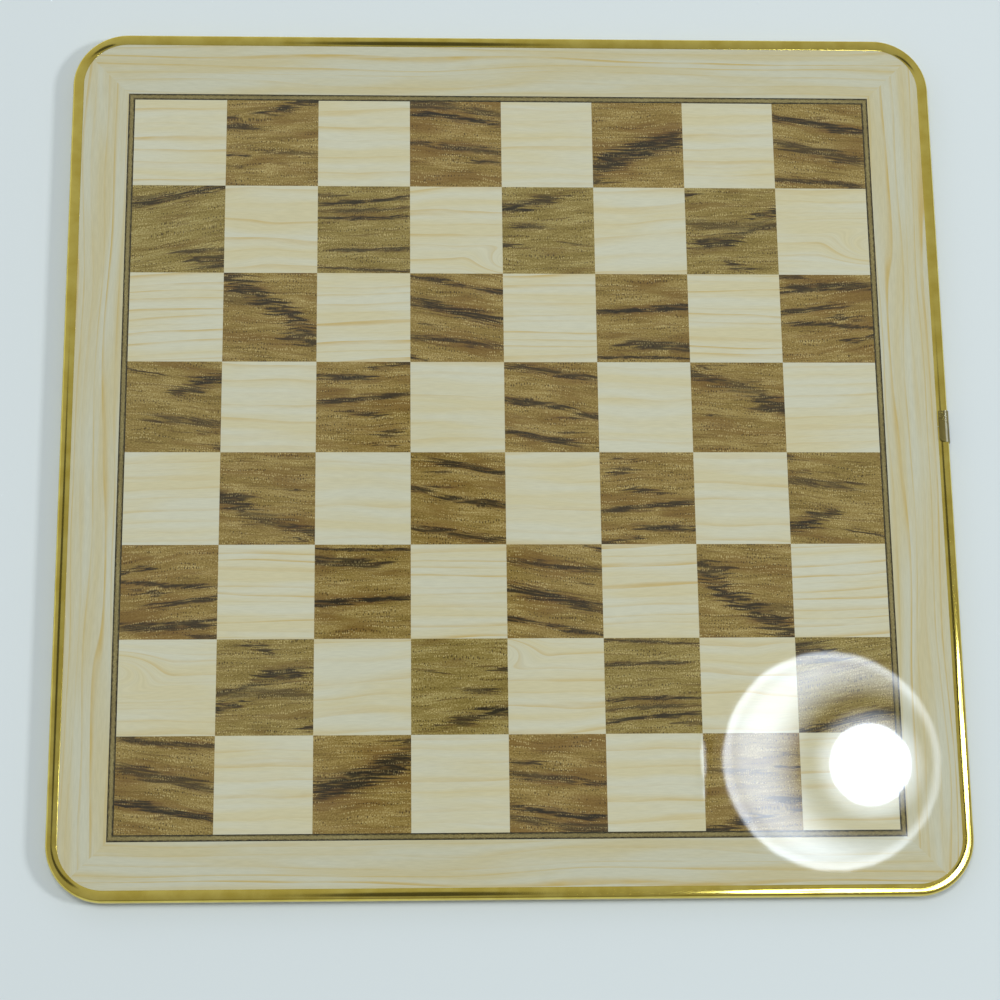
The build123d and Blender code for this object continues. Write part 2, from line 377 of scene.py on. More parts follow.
def dots_in_rows(tree, grain, apart, rows, size, patches, dense):
    """How much of a dot there is at a place: small dots, one after another in rows along the grain, here
    and there on the square. apart, rows and the patches' size are in mm; dense is from 0 to 1."""
    spaced = add_node(tree, "Mapping", {"Scale": (1 / apart, 1 / rows, 1.0)}, {"Vector": grain})
    away = add_node(tree, "TexVoronoi", {"voronoi_dimensions": "2D", "Scale": 1.0, "Randomness": 0.6},
                    {"Vector": spaced}).outputs["Distance"]
    dot = add_node(tree, "MapRange", SMOOTHLY | {"From Min": size, "From Max": 0.4 * size}, {"Value": away})
    start = 0.66 - 0.3 * dense
    where = add_node(tree, "MapRange", SMOOTHLY | {"From Min": start, "From Max": start + 0.1},
                     {"Value": drawn_noise(tree, grain, patches)})
    return add_node(tree, "Math MULTIPLY", links={0: dot, 1: where})


def rosewood_print():
    """A photographed rosewood figure printed on paper, under a clear film: golden olive with slate-black
    streaks that are combed along the grain, brown haze round them and rows of pale and dark dots."""
    finish, tree, shader = glossy_print("rosewood_print")
    long_fibres, torn_fibres, threads = (20.0, 0.9), (5.0, 0.9), (10.0, 0.75)
    haze_fibres, faint_threads = (7.0, 1.3), (18.0, 0.9)
    across, in_mm, lean, offset = square_coordinates(tree)
    grain = grain_coordinates(tree, *in_mm, lean, offset, wander_size=(30.0, 9.0), wander_reach=4.0)

    # Each fibre pulls the streaks along the grain by its own length, in squares, so their ends look combed,
    # and torn fibres roughen their sides.
    combed, roughened = 0.2, 0.025
    combing = add_node(tree, "MapRange", {"From Min": 0.2, "From Max": 0.8, "To Min": -combed,
                                          "To Max": combed, "clamp": False},
                       {"Value": drawn_noise(tree, grain, long_fibres, 1.0)})
    along_square = add_node(tree, "Math ADD", links={0: across.outputs[0], 1: combing})
    jitter = add_node(tree, "MapRange", {"To Min": -roughened, "To Max": roughened, "clamp": False},
                      {"Value": drawn_noise(tree, grain, torn_fibres, 3.0)})
    far = add_node(tree, "Math SUBTRACT", {0: 1.0}, {1: across.outputs[1]})
    down = add_node(tree, "Math ADD", links={0: far, 1: jitter})

    # The streaks, each with a dark core and a wide haze, and tapered to both ends. down is measured from
    # the square's far side. A core and a haze fade out over a range of the streak's own half widths.
    taper = 0.2
    fades = {"core": (0.8, 1.8), "haze": (0.6, 3.3)}
    streaks = {}
    for number in range(1, streak_count + 1):
        ends = add_node(tree, "Attribute", {"attribute_name": f"streak_{number}_ends"})
        start = add_node(tree, "SeparateXYZ", links={0: ends.outputs["Vector"]})
        form = held_by_tile(tree, f"streak_{number}_form")
        span = {"Value": along_square, "From Min": start.outputs[0], "From Max": start.outputs[2]}
        along = add_node(tree, "MapRange", {"clamp": False}, span)
        line = add_node(tree, "MapRange", {"clamp": False},
                        span | {"To Min": start.outputs[1], "To Max": ends.outputs["Alpha"]})
        left = add_node(tree, "Math SUBTRACT", {0: 1.0}, {1: along})
        arch = add_node(tree, "Math MULTIPLY", links={0: along, 1: left})
        bent = add_node(tree, "Math MULTIPLY_ADD", links={0: arch, 1: form.outputs[0], 2: line})
        off = add_node(tree, "Math SUBTRACT", links={0: down, 1: bent})
        away = add_node(tree, "Math ABSOLUTE", links={0: off})
        widths = add_node(tree, "Math DIVIDE", links={0: away, 1: form.outputs[1]})
        tip, tail = (add_node(tree, "MapRange", SMOOTHLY | {"From Max": taper}, {"Value": end})
                     for end in (along, left))
        ended = add_node(tree, "Math MULTIPLY", links={0: tip, 1: tail})
        weight = add_node(tree, "Math MULTIPLY", links={0: ended, 1: form.outputs[2]})
        for name, (inner, outer) in fades.items():
            fade = {"From Min": inner, "From Max": outer, "To Min": 1.0, "To Max": 0.0}
            body = add_node(tree, "MapRange", SMOOTHLY | fade, {"Value": widths})
            streak = add_node(tree, "Math MULTIPLY", links={0: body, 1: weight})
            if name in streaks:
                streak = add_node(tree, "Math MAXIMUM", links={0: streaks[name], 1: streak})
            streaks[name] = streak

    # Finer fibres thin the haze and part the cores; faint brown threads run between the streaks.
    hazed = add_node(tree, "MapRange", {"From Min": 0.3, "From Max": 0.65, "To Min": 0.25, "To Max": 1.0},
                     {"Value": drawn_noise(tree, grain, haze_fibres)})
    haze = add_node(tree, "Math MULTIPLY", links={0: streaks["haze"], 1: hazed})
    parted = add_node(tree, "MapRange", {"From Min": 0.32, "From Max": 0.48, "To Min": 0.3, "To Max": 1.0},
                      {"Value": drawn_noise(tree, grain, threads)})
    core = add_node(tree, "Math MULTIPLY", links={0: streaks["core"], 1: parted})
    faint = add_node(tree, "MapRange", SMOOTHLY | {"From Min": 0.58, "From Max": 0.75, "To Max": 0.45},
                     {"Value": drawn_noise(tree, grain, faint_threads)})
    pale = dots_in_rows(tree, grain, apart=0.95, rows=1.25, size=0.36, patches=(14.0, 1.1), dense=0.45)
    dark = dots_in_rows(tree, grain, apart=1.2, rows=1.9, size=0.3, patches=(18.0, 1.5), dense=0.5)
    bare = add_node(tree, "MapRange", {"To Min": 1.0, "To Max": 0.25}, {"Value": core})
    pale = add_node(tree, "Math MULTIPLY", links={0: pale, 1: bare})
    tone = rosewood_ground(tree, grain, held_by_tile(tree, "tint").outputs[0])
    for share, most, pigment in (
        (faint, 1.0, "#5b4526"), (haze, 0.75, "#5b4026"), (dark, 0.8, "#372b1a"),
        (core, 0.9, "#24231b"), (pale, 0.7, "#bfaf76"),
    ):
        limited = add_node(tree, "Math MULTIPLY", {1: most}, {0: share})
        tone = add_node(tree, "Mix", IN_COLOUR | {7: colour(pigment)}, {0: limited, 6: tone}).outputs[2]
    tree.links.new(tone, shader.inputs["Base Color"])
    return finish


rosewood = rosewood_print()
for rank in range(1, squares_per_side + 1):
    row = row_of_tiles(f"rank_{rank}_dark_print", rank, 0, rosewood_values)
    row.data.materials.append(rosewood)
    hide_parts(f"rank_{rank}_dark_squares")
    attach(row, "root")


# The light squares are printed with the figure of maple on the same sheet: cream, with thin ochre lines
# along the grain, some straight and close, some few and wandering.

# How far the grain rises towards the right across one square, how strong its lines are, how far they
# wander, in mm, and how far apart they lie, in mm.
maple_grain = {
    "a8": (0.00, 1.0, 3.0, 6.5), "c8": (0.03, 0.8, 3.5, 7.0),
    "e8": (0.01, 0.6, 3.0, 6.0), "g8": (0.00, 0.7, 4.0, 7.0),
    "b7": (-0.02, 0.9, 5.0, 7.0), "d7": (0.02, 0.8, 4.0, 5.5),
    "f7": (0.04, 0.9, 4.0, 7.0), "h7": (0.00, 0.7, 3.0, 5.0),
    "a6": (0.03, 1.1, 1.5, 3.8), "c6": (0.03, 1.1, 2.0, 4.4),
    "e6": (0.00, 1.1, 1.5, 4.0), "g6": (0.00, 1.2, 1.2, 3.6),
    "b5": (-0.01, 0.6, 2.5, 6.0), "d5": (0.00, 0.5, 4.0, 7.0),
    "f5": (0.00, 0.4, 4.0, 8.0), "h5": (0.04, 0.6, 2.0, 4.5),
}
# Where the lines run round the tip of a ring: its middle from the square's near left corner, and how far
# it pushes the lines, all in mm.
maple_loops = {"d7": (46.0, 4.0, 12.0), "h7": (42.0, 12.0, 13.0)}


def maple_values(twin):
    """The grain of one light square, as its attributes."""
    sheet_step = 67.0
    number = sorted(maple_grain).index(twin)
    lean, *lines = maple_grain[twin]
    place = (sheet_step * (number % 4), sheet_step * (number // 4), lean)
    return {"grain": place, "lines": lines, "loop": maple_loops.get(twin, (0.0, 0.0, 0.0))}


def maple_figure(tree, grain, spacing, strength, base, line, deep):
    """The maple's colour: pale, with a thin line where each year's ring ends, soft on one side, broad
    whiter and deeper bands, and fine fibres. spacing, from ring to ring, and all sizes are in mm; it and
    strength are sockets or numbers."""
    bands, patches, fibres, drift, drift_reach = (90.0, 7.0), (30.0, 2.5), (6.0, 0.45), (160.0, 8.0), 7.0
    ring_rise, ring_fall = (0.62, 0.95), (1.0, 0.95)
    across = add_node(tree, "SeparateXYZ", links={0: grain}).outputs[1]
    uneven = add_node(tree, "Math MULTIPLY_ADD", {1: drift_reach},
                      {0: drawn_noise(tree, grain, drift, 1.0), 2: across})
    rings = add_node(tree, "Math DIVIDE", links={0: uneven, 1: spacing})
    year = add_node(tree, "Math FLOOR", links={0: rings})
    season = add_node(tree, "Math FRACT", links={0: rings})
    rise, fall = (
        add_node(tree, "MapRange", SMOOTHLY | {"From Min": start, "From Max": end}, {"Value": season})
        for start, end in (ring_rise, ring_fall)
    )
    yearly = add_node(tree, "TexWhiteNoise", {"noise_dimensions": "1D"}, {"W": year}).outputs["Value"]
    vigour = add_node(tree, "MapRange", {"To Min": 0.15}, {"Value": yearly})
    fading = add_node(tree, "MapRange", {"From Min": 0.3, "From Max": 0.65, "To Min": 0.3},
                      {"Value": drawn_noise(tree, grain, patches)})
    share = rise
    for factor in (fall, vigour, fading, strength):
        share = add_node(tree, "Math MULTIPLY", links={0: share, 1: factor})
    shade = add_node(tree, "MapRange", {"From Min": 0.35, "From Max": 0.65},
                     {"Value": drawn_noise(tree, grain, bands)})
    ground = add_node(tree, "Mix", IN_COLOUR | {6: colour(base), 7: colour(deep)}, {0: shade})
    veined = add_node(tree, "Mix", IN_COLOUR | {7: colour(line)}, {0: share, 6: ground.outputs[2]})
    hair = add_node(tree, "MapRange", {"From Min": 0.3, "From Max": 0.7, "To Min": 0.965, "To Max": 1.035},
                    {"Value": drawn_noise(tree, grain, fibres)})
    return add_node(tree, "VectorMath SCALE", links={0: veined.outputs[2], "Scale": hair}).outputs[0]


def maple_print():
    """A photographed maple figure printed on paper, under a clear film, mirror-smooth on top."""
    finish, tree, shader = glossy_print("maple_print")
    loop_length, loop_width = 26.0, 11.0
    in_mm, lean, offset = square_coordinates(tree)[1:]
    lines, loop = held_by_tile(tree, "lines"), held_by_tile(tree, "loop")
    grain = grain_coordinates(tree, *in_mm, lean, offset, wander_size=(38.0, 14.0),
                              wander_reach=lines.outputs[1])
    middle = add_node(tree, "CombineXYZ", links={0: loop.outputs[0], 1: loop.outputs[1]})
    here = add_node(tree, "CombineXYZ", links={0: in_mm[0], 1: in_mm[1]})
    from_loop = add_node(tree, "VectorMath SUBTRACT", links={0: here, 1: middle})
    scaled = add_node(tree, "VectorMath MULTIPLY", {1: (1 / loop_length, 1 / loop_width, 0.0)},
                      {0: from_loop})
    away = add_node(tree, "VectorMath LENGTH", links={0: scaled}).outputs["Value"]
    near = add_node(tree, "MapRange", SMOOTHLY | {"To Min": 1.0, "To Max": 0.0}, {"Value": away})
    push = add_node(tree, "Math MULTIPLY", links={0: near, 1: loop.outputs[2]})
    aside = add_node(tree, "CombineXYZ", links={1: push})
    pushed = add_node(tree, "VectorMath ADD", links={0: grain, 1: aside})
    figure = maple_figure(tree, pushed, spacing=lines.outputs[2], strength=lines.outputs[0],
                          base="#c4c5ae", line="#baa66c", deep="#c4bf9b")
    tree.links.new(figure, shader.inputs["Base Color"])
    return finish


maple = maple_print()
for rank in range(1, squares_per_side + 1):
    row = row_of_tiles(f"rank_{rank}_light_print", rank, 1, maple_values)
    row.data.materials.append(maple)
    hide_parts(f"rank_{rank}_light_squares")
    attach(row, "root")


# The border is printed as four strips of maple that meet in mitres, and the thin line inside it as four
# strips of dark rosewood. Both are on the same sheet, so they lie in one plane, and both keep their own
# solids. Their print is point-symmetric too.
half_field = squares_per_side / 2 * square_side
print_middle = Vector((field_left + half_field, field_near + half_field))
line_inner = half_field / MM
line_outer = (print_middle.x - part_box("left_line")[0].x) / MM


def strip_coordinates(tree):
    """For strips that frame the print: the place along and out from its middle in mm, and an offset
    that gives the sides and the far and near strips their own stretch of figure."""
    middle = (-print_middle.x, -print_middle.y, 0.0)
    side_stretch = (437.0, 59.0, 0.0)
    place = add_node(tree, "VectorMath ADD", {1: middle},
                     {0: add_node(tree, "TexCoord").outputs["Object"]})
    scaled = add_node(tree, "VectorMath SCALE", {"Scale": 1 / MM}, {0: place})
    flat = add_node(tree, "SeparateXYZ", links={0: scaled})
    reach = [add_node(tree, "Math ABSOLUTE", links={0: flat.outputs[axis]}) for axis in (0, 1)]
    sideways = add_node(tree, "Math GREATER_THAN", links={0: reach[0], 1: reach[1]})
    along = add_node(tree, "Mix", links={0: sideways, 2: flat.outputs[0], 3: flat.outputs[1]})
    out = add_node(tree, "Mix", links={0: sideways, 2: flat.outputs[1], 3: flat.outputs[0]})
    way = add_node(tree, "Math SIGN", links={0: out})
    along_way = add_node(tree, "Math MULTIPLY", links={0: along, 1: way})
    out_way = add_node(tree, "Math MULTIPLY", links={0: out, 1: way})
    offset = add_node(tree, "VectorMath SCALE", {0: side_stretch}, {"Scale": sideways})
    return along_way, out_way, offset


def maple_border_print():
    """The border's maple: the same print as the light squares, a little greyer, with longer lines."""
    finish, tree, shader = glossy_print("maple_border_print")
    along, out, offset = strip_coordinates(tree)
    grain = grain_coordinates(tree, along, out, 0.0, offset, wander_size=(110.0, 16.0), wander_reach=7.0)
    figure = maple_figure(tree, grain, spacing=4.2, strength=1.3,
                          base="#bcbda6", line="#b7a56a", deep="#bbb590")
    tree.links.new(figure, shader.inputs["Base Color"])
    return finish


def rosewood_line_print():
    """The thin line's rosewood: brown with a fine grain, darker along both of its sides."""
    finish, tree, shader = glossy_print("rosewood_line_print")
    dashes, torn = (1.8, 0.42), 0.45
    half = (line_outer - line_inner) / 2
    along, out, offset = strip_coordinates(tree)
    flat = add_node(tree, "CombineXYZ", links={0: along, 1: out})
    grain = add_node(tree, "VectorMath ADD", links={0: flat, 1: offset})
    fresh = rosewood_ground(tree, grain, -0.5)
    ground = add_node(tree, "Mix", IN_COLOUR | {0: 0.4, 7: colour("#757052")}, {6: fresh}).outputs[2]
    from_middle = add_node(tree, "Math SUBTRACT", {1: line_inner + half}, {0: out})
    away = add_node(tree, "Math ABSOLUTE", links={0: from_middle})
    ragged = add_node(tree, "MapRange", {"To Min": -torn, "To Max": torn, "clamp": False},
                      {"Value": drawn_noise(tree, grain, dashes, 1.0)})
    side = add_node(tree, "Math ADD", links={0: away, 1: ragged})
    share = add_node(tree, "MapRange", SMOOTHLY | {"From Min": 0.2 * half, "From Max": 0.9 * half},
                     {"Value": side})
    tone = add_node(tree, "Mix", IN_COLOUR | {7: colour("#26241a")}, {0: share, 6: ground})
    tree.links.new(tone.outputs[2], shader.inputs["Base Color"])
    return finish


border_finish = maple_border_print()
line_finish = rosewood_line_print()
for side in ("right", "far", "left", "near"):
    dress(f"{side}_border", border_finish)
    dress(f"{side}_line", line_finish)


# The edge is a channel of polished brass, bent round the panel in one length. Its outside is half an oval
# whose highest line lies near the outermost one; its lips are crowned, thin towards their rolled ends and
# grip the panel's two faces. Its ends butt under the sleeve.
bead_low, bead_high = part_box("edge_bead")
outermost = bead_high.x
bead_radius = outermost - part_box("core_panel")[1].x
bead_middle_z = (bead_low.z + bead_high.z) / 2
bead_wall = 0.5 * MM
bead_reach = 5.0 * MM
bead_crest = 1.25 * MM
bead_lip_drop = 0.38 * MM
lip_rounding = 0.2 * MM
corner_radius = 24.0 * MM
butt_gap = 0.4 * MM
corner_steps, round_steps, inner_steps, crown_steps, roll_steps = 24, 18, 8, 6, 4
sleeve_low, sleeve_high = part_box("joint_sleeve")
joint_y = (sleeve_low.y + sleeve_high.y) / 2


def swing(bm, vert, middle, degrees, steps):
    """Draws an arc in the section from a vertex about a middle, and returns the arc's last vertex."""
    arc = bmesh.ops.spin(bm, geom=[vert], cent=middle, axis=(0.0, 1.0, 0.0), angle=math.radians(degrees),
                         steps=steps, use_duplicate=False)
    return next(item for item in arc["geom_last"] if isinstance(item, bmesh.types.BMVert))


def draw(bm, vert, step):
    """Draws a straight line from a vertex, and returns its end."""
    end = bmesh.ops.extrude_vert_indiv(bm, verts=[vert])["verts"][0]
    end.co += Vector(step)
    return end


def squeeze(bm, verts, middle, share):
    """Squeezes an arc towards the middle it was drawn about, across the board, into part of an oval."""
    bmesh.ops.scale(bm, vec=(share, 1.0, 1.0), space=Matrix.Translation(-middle), verts=verts)


def channel_section(bm, outer_x, start_y, radius, crest, wall, reach, lip_drop):
    """A half oval with two crowned lips, hollow, on the right-hand side at start_y. crest is how far its
    highest line lies from its outermost point. The upper half is drawn from that point inwards and back,
    then mirrored. Returns its edges."""
    round_middle = Vector((outer_x - crest, start_y, bead_middle_z))
    roll = min(lip_rounding, 0.8 * (wall - lip_drop))
    lip_run = reach - crest
    crown_radius = (lip_run ** 2 + lip_drop ** 2) / (2 * lip_drop)
    crown_turn = math.degrees(math.asin((lip_run - roll) / (crown_radius - roll)))
    crown_middle = round_middle + Vector((0, 0, radius - crown_radius))
    vert = bmesh.ops.create_vert(bm, co=round_middle + Vector((radius, 0, 0)))["vert"][0]
    vert = swing(bm, vert, round_middle, -90, round_steps)
    squeeze(bm, bm.verts[:], round_middle, crest / radius)
    vert = swing(bm, vert, crown_middle, -crown_turn, crown_steps)
    turn = math.radians(crown_turn)
    inwards = Vector((-math.sin(turn), 0, math.cos(turn)))
    roll_middle = crown_middle + (crown_radius - roll) * inwards
    vert = swing(bm, vert, roll_middle, crown_turn - 90, roll_steps)
    vert = draw(bm, vert, (0, 0, bead_middle_z + radius - wall - vert.co.z))
    vert = draw(bm, vert, (lip_run, 0, 0))
    outside = set(bm.verts)
    swing(bm, vert, round_middle, 90, inner_steps)
    squeeze(bm, [v for v in bm.verts if v not in outside], round_middle, (crest - wall) / (radius - wall))
    bmesh.ops.remove_doubles(bm, verts=bm.verts, dist=1e-7)
    half = bm.verts[:] + bm.edges[:]
    bmesh.ops.mirror(bm, geom=half, matrix=Matrix.Translation((0, 0, -bead_middle_z)), axis="Z",
                     merge_dist=1e-6)
    return bm.edges[:]


def run(bm, edges, step):
    """Extrudes the section along a straight, and returns its edges at the far end."""
    new = bmesh.ops.extrude_edge_only(bm, edges=edges)["geom"]
    bmesh.ops.translate(bm, verts=[v for v in new if isinstance(v, bmesh.types.BMVert)], vec=step)
    ends = {v for v in new if isinstance(v, bmesh.types.BMVert)}
    return [e for e in new if isinstance(e, bmesh.types.BMEdge) and all(v in ends for v in e.verts)
            and e.is_boundary]


def bend(bm, edges, middle):
    """Turns the section round a corner by a quarter turn, and returns its edges at the far end."""
    verts = list(dict.fromkeys(v for e in edges for v in e.verts))
    turned = bmesh.ops.spin(bm, geom=verts + edges, cent=(*middle, bead_middle_z), axis=(0, 0, 1),
                            angle=math.radians(90), steps=corner_steps)["geom_last"]
    return [item for item in turned if isinstance(item, bmesh.types.BMEdge)]


def close_ends(bm):
    """Closes both ends of a swept section and turns all faces outwards."""
    bmesh.ops.remove_doubles(bm, verts=bm.verts, dist=1e-6)
    bmesh.ops.holes_fill(bm, edges=[edge for edge in bm.edges if edge.is_boundary], sides=0)
    bmesh.ops.recalc_face_normals(bm, faces=bm.faces)


def smooth_but_crisp(piece, degrees=50):
    """Smooth shading that keeps edges sharper than the given angle."""
    piece.data.shade_smooth()
    piece.data.set_sharp_from_angle(angle=math.radians(degrees))


def polished_brass(name, light, dark, roughness):
    """Drawn brass, buffed and lacquered: a warm mirror, a little cloudy with tarnish. Its grit is drawn
    coarser than the buffing leaves it, so that it shows."""
    finish, tree, shader = new_finish(name, Metallic=1.0)
    cloud_size, grit_size, grit_depth = 9 * MM, 0.35 * MM, 0.1 * MM
    spread = {"From Min": 0.35, "From Max": 0.65}
    place = add_node(tree, "TexCoord").outputs["Object"]
    cloud = add_node(tree, "TexNoise", {"Scale": 1 / cloud_size, "Detail": 3.0}, {"Vector": place})
    share = add_node(tree, "MapRange", spread, {"Value": cloud})
    tone = add_node(tree, "Mix", IN_COLOUR | {6: colour(light), 7: colour(dark)}, {0: share})
    tree.links.new(tone.outputs[2], shader.inputs["Base Color"])
    dull = add_node(tree, "MapRange", spread | {"To Min": roughness * 0.8, "To Max": roughness * 1.3},
                    {"Value": cloud})
    tree.links.new(dull.outputs[0], shader.inputs["Roughness"])
    grit = add_node(tree, "TexNoise", {"Scale": 1 / grit_size, "Detail": 2.0}, {"Vector": place})
    bump = add_node(tree, "Bump", {"Strength": 0.03, "Distance": grit_depth}, {"Height": grit})
    tree.links.new(bump.outputs[0], shader.inputs["Normal"])
    return finish


bm = bmesh.new()
ring = channel_section(
    bm, outermost, joint_y + butt_gap / 2, bead_radius, bead_crest, bead_wall, bead_reach, bead_lip_drop
)
straight = outermost - corner_radius
ring = run(bm, ring, (0, straight - joint_y - butt_gap / 2, 0))
for middle, step in (
    ((straight, straight), (-2 * straight, 0, 0)),
    ((-straight, straight), (0, -2 * straight, 0)),
    ((-straight, -straight), (2 * straight, 0, 0)),
    ((straight, -straight), (0, straight + joint_y - butt_gap / 2, 0)),
):
    ring = bend(bm, ring, middle)
    ring = run(bm, ring, step)
close_ends(bm)
bead = finished_piece("brass_edge", bm)
smooth_but_crisp(bead)
bead.data.materials.append(polished_brass("polished_brass", "#edd86e", "#ddc558", 0.06))
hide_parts("edge_bead")
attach(bead, "root")


# The sleeve is a short piece of thinner brass, browned with age, crimped over the butt joint. It follows
# the channel's section a little outside it; its ends are softened and its lips' corners filed round.
sleeve_wall = 0.4 * MM
sleeve_radius = (sleeve_high.z - sleeve_low.z) / 2
sleeve_crest = bead_crest + sleeve_high.x - bead_high.x
sleeve_reach = sleeve_high.x - sleeve_low.x
near_corner, far_corner = 1.8 * MM, 0.7 * MM
end_softening = 0.15 * MM
# Where the sleeve has sections, in mm from either end.
sections_from_ends = [0.0, 0.03, 0.08, 0.15, 0.3, 0.5, 0.7, 1.0, 1.4, 1.8]


def held_back(distance, radius):
    """How far a corner of the given radius is cut back at a distance from the end."""
    return radius - math.sqrt(max(0.0, radius ** 2 - max(0.0, radius - distance) ** 2))


def browned_brass():
    """Thin brass, browned with age, with a painted highlight along its shoulder: a near-white line in its
    colour, soft at its sides.
    """
    finish = polished_brass("browned_brass", "#a09252", "#857740", 0.25)
    tree = finish.node_tree
    shader = tree.nodes["Principled BSDF"]
    browned = shader.inputs["Base Color"].links[0].from_socket
    # A painted highlight: near-white colour mixed into the brass along one line of the shoulder, fading out
    # to either side.
    highlight_x, bright_half, highlight_fade_half = sleeve_high.x - 1.85 * MM, 0.15 * MM, 0.6 * MM
    place = add_node(tree, "SeparateXYZ", links={0: add_node(tree, "TexCoord").outputs["Object"]})
    across = add_node(tree, "Math SUBTRACT", {1: highlight_x}, {0: place.outputs[0]})
    from_line = add_node(tree, "Math ABSOLUTE", links={0: across})
    painted_highlight = add_node(tree, "MapRange", {"From Min": bright_half, "From Max": highlight_fade_half, "To Min": 1.0,
                                         "To Max": 0.0}, {"Value": from_line})
    tone = add_node(tree, "Mix", IN_COLOUR | {7: colour("#f6f2d2")}, {0: painted_highlight, 6: browned})
    tree.links.new(tone.outputs[2], shader.inputs["Base Color"])
    return finish


bm = bmesh.new()
ring = channel_section(
    bm, sleeve_high.x, sleeve_low.y, sleeve_radius, sleeve_crest, sleeve_wall, sleeve_reach, bead_lip_drop
)
length = sleeve_high.y - sleeve_low.y
from_ends = [distance * MM for distance in sections_from_ends]
places = sorted({*from_ends, *(length - distance for distance in from_ends)})
for start, end in zip(places, places[1:]):
    ring = run(bm, ring, (0, end - start, 0))
close_ends(bm)
for vert in bm.verts:
    inward = sleeve_high.x - vert.co.x
    near_distance, far_distance = vert.co.y - sleeve_low.y, sleeve_high.y - vert.co.y
    if inward > sleeve_crest:
        cut = max(held_back(near_distance, near_corner), held_back(far_distance, far_corner))
        vert.co.x += cut * (inward - sleeve_crest) / (sleeve_reach - sleeve_crest)
    from_crest = max(0.0, sleeve_crest - inward) * sleeve_radius / sleeve_crest
    outwards = Vector((from_crest, 0, vert.co.z - bead_middle_z))
    if outwards.length > sleeve_radius - sleeve_wall + 1e-6:
        soft = held_back(min(near_distance, far_distance), end_softening)
        vert.co -= soft * outwards.normalized()
sleeve = finished_piece("brass_sleeve", bm)
smooth_but_crisp(sleeve)
sleeve.data.materials.append(browned_brass())
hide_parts("joint_sleeve")
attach(sleeve, "root")


# Four round pads of pressed brown felt are glued under the corners, so that the brass never touches the
# table. They are punched from sheet, so their edges are square and a little fuzzy.
def pressed_felt():
    """Pressed wool felt: matt and soft, with tangled fibres."""
    finish, tree, shader = new_finish("pressed_felt", Roughness=0.95, Sheen_Weight=0.4)
    fibre_size = 0.5 * MM
    place = add_node(tree, "TexCoord").outputs["Object"]
    fibre = add_node(tree, "TexNoise", {"Scale": 1 / fibre_size, "Detail": 4.0, "Distortion": 1.5},
                     {"Vector": place})
    tone = add_node(tree, "Mix", IN_COLOUR | {6: colour("#3c3026"), 7: colour("#5b4a3a")}, {0: fibre})
    tree.links.new(tone.outputs[2], shader.inputs["Base Color"])
    bump = add_node(tree, "Bump", {"Strength": 0.6, "Distance": 0.2 * MM}, {"Height": fibre})
    tree.links.new(bump.outputs[0], shader.inputs["Normal"])
    return finish


pads_low, pads_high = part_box("felt_pads")
pad_radius, rim_softening = 7.0 * MM, 0.25 * MM
pad_thickness = pads_high.z - pads_low.z
pad_reach = pads_high.x - pad_radius
bm = bmesh.new()
for way_x in (-1, 1):
    for way_y in (-1, 1):
        middle = Matrix.Translation((way_x * pad_reach, way_y * pad_reach, pad_thickness / 2))
        bmesh.ops.create_cone(bm, cap_ends=True, segments=64, radius1=pad_radius, radius2=pad_radius,
                              depth=pad_thickness, matrix=middle)
rims = [edge for edge in bm.edges if edge.calc_face_angle(0) > math.radians(45)]
bmesh.ops.bevel(bm, geom=rims, affect="EDGES", offset=rim_softening, segments=3, profile=0.5, material=-1)
pads = finished_piece("felt_pads_soft", bm)
smooth_but_crisp(pads)
pads.data.materials.append(pressed_felt())
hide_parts("felt_pads")
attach(pads, "root")


# Under the board lies a plain, matt, pale table top. It isn't part of the board, and it reaches far enough
# for the brass to mirror it all the way round.
floor_reach = 3.0
bm = bmesh.new()
bmesh.ops.create_grid(bm, x_segments=1, y_segments=1, size=floor_reach)
floor = finished_piece("floor", bm)
floor.data.materials.append(
    new_finish("pale_table", Base_Color=colour("#d3dddf"), Roughness=0.9, Specular_IOR_Level=0.1)[0]
)


# Plain studio light comes from all round, brighter beyond the board and to its left, with one dark patch
# overhead that the brass mirrors. A soft box stands to the right, and another hangs over the far side. The
# camera shows only an even white behind the floor.
world = bpy.data.worlds.new("studio")
world.use_nodes = True
bpy.context.scene.world = world
tree = world.node_tree
backdrop = tree.nodes["Background"]
backdrop.inputs["Color"].default_value = colour("#eef1f3")
# How strong the light is from the height of the board, at 0, to straight overhead, at 1.
studio_levels = ((0.0, 0.55), (0.55, 0.6), (0.7, 0.33), (0.8, 0.3), (0.88, 0.45), (0.95, 0.42), (1.0, 0.38))
brighter_side = (-0.28, 0.55, 0.0)
patch_middle, patch_size, patch_level = (0.01, 0.19, 0.98), (0.05, 0.11, 1.0), 0.2
patch_inner, patch_outer = 0.7, 1.2
way = add_node(tree, "TexCoord").outputs["Generated"]
height = add_node(tree, "SeparateXYZ", links={0: way}).outputs[2]
level = add_node(tree, "ValToRGB", links={0: height})
paint_ramp(level, [(place, (grey, grey, grey, 1.0)) for place, grey in studio_levels])
side = add_node(tree, "VectorMath DOT_PRODUCT", {1: brighter_side}, {0: way}).outputs["Value"]
more = add_node(tree, "Math ADD", {0: 1.0}, {1: side})
lit = add_node(tree, "Math MULTIPLY", links={0: level.outputs["Color"], 1: more})
aside = add_node(tree, "VectorMath SUBTRACT", {1: patch_middle}, {0: way})
scaled = add_node(tree, "VectorMath DIVIDE", {1: patch_size}, {0: aside})
away = add_node(tree, "VectorMath LENGTH", links={0: scaled}).outputs["Value"]
patch = add_node(tree, "MapRange", SMOOTHLY | {"From Min": patch_inner, "From Max": patch_outer,
                                               "To Min": patch_level}, {"Value": away})
patched = add_node(tree, "Math MULTIPLY", links={0: lit, 1: patch})
seen = add_node(tree, "LightPath").outputs["Is Camera Ray"]
strength = add_node(tree, "Mix", {3: 1.0}, {0: seen, 2: patched})
tree.links.new(strength.outputs[0], backdrop.inputs["Strength"])


